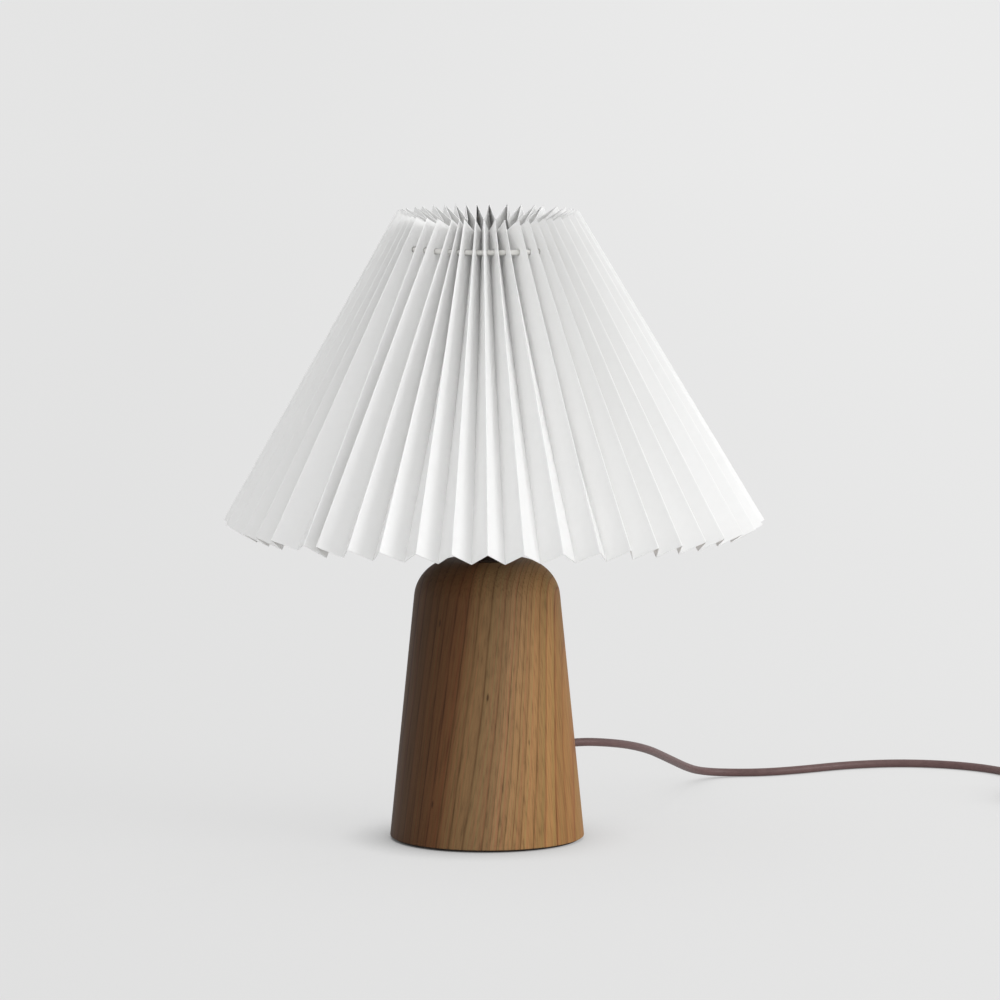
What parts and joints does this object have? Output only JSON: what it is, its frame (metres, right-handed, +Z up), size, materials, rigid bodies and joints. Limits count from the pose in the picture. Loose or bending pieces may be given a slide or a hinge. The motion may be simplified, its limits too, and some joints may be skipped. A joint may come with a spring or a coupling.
{
  "type": "table lamp",
  "caption": "Turned wood table lamp with a pleated cone shade on a wire carrier, a bulb in a lampholder, and a mains cord with a rocker switch and a plug.",
  "frame": {"origin": "on the table under the middle of the foot", "axes": "+Z up along the lamp, -Y towards the viewer, +X to the right, where the cord lies"},
  "size_m": [0.6433, 0.4643, 0.4083],
  "materials": {
    "wood": "oiled, straight grain",
    "felt": "felt",
    "ballast": "as cast",
    "zinc_steel": "zinc plated",
    "cord": "matt",
    "fitting": "matt",
    "live": "matt",
    "neutral": "matt",
    "holder": "satin",
    "ceramic": "unglazed",
    "brass": "plain",
    "nickel": "nickel plated",
    "cap_metal": "rolled",
    "insulator": "gloss",
    "board": "white coated",
    "driver": "matt",
    "opal_glass": "opal, satin",
    "wire_white": "satin white",
    "shade": "matt",
    "string": "braided"
  },
  "bodies": {
    "root": {"wood_base": "wood", "felt_pad": "felt", "ballast_disc": "ballast", "ballast_screws": "zinc_steel", "threaded_tube": "zinc_steel", "lower_washer": "zinc_steel", "lower_nut": "zinc_steel", "seat_washer": "zinc_steel", "lock_nut": "zinc_steel", "cord_bush": "fitting", "cord_grip": "fitting", "grip_screw": "zinc_steel", "inner_lead": "cord", "live_wire": "live", "neutral_wire": "neutral", "holder_cap": "holder", "holder_lock_screw": "zinc_steel", "holder_shell": "holder", "holder_insert": "ceramic", "screw_sleeve": "brass", "centre_contact": "brass", "terminal_posts": "brass", "terminal_screws": "zinc_steel", "shade_ring": "holder", "switch_lower_shell": "fitting", "switch_upper_shell": "fitting", "rocker_pin": "zinc_steel", "switch_contacts": "brass", "switch_wires": "live", "switch_screws": "zinc_steel", "cord_lead": "cord", "cord_link": "cord", "cord_coil": "cord", "cord_tail": "cord", "plug_body": "fitting", "plug_pins": "nickel"},
    "carrier": {"shade_carrier": "wire_white"},
    "shade": {"shade_pleats": "shade", "shade_drawstring": "string"},
    "bulb_lift": {"bulb_contact": "brass"},
    "bulb": {"bulb_glass": "opal_glass", "bulb_cap": "cap_metal", "bulb_insulator": "insulator", "bulb_driver": "driver", "bulb_light_board": "board"},
    "rocker": {"switch_rocker": "fitting"}
  },
  "joints": [
    {"name": "carrier_turn", "type": "hinge", "parent": "root", "child": "carrier", "pos_m": [0, 0, 0.2172], "axis": [0, 0, 1], "continuous": true},
    {"name": "shade_lift", "type": "slide", "parent": "carrier", "child": "shade", "axis": [0, 0, 1], "range_m": [0, 0.19]},
    {"name": "bulb_rise", "type": "slide", "parent": "root", "child": "bulb_lift", "axis": [0, 0, 1], "range_m": [0, 0.0145]},
    {"name": "bulb_turn", "type": "hinge", "parent": "bulb_lift", "child": "bulb", "pos_m": [0, 0, 0.25], "axis": [0, 0, 1], "range_deg": [0, 1440]},
    {"name": "rocker_tip", "type": "hinge", "parent": "root", "child": "rocker", "pos_m": [0.366, 0.154, 0.0135], "axis": [-1, 0, 0], "range_deg": [0, 16]}
  ],
  "couplings": [
    {"joint": "bulb_rise", "follows": "bulb_turn", "m_per_rad": 0.00057296}
  ]
}
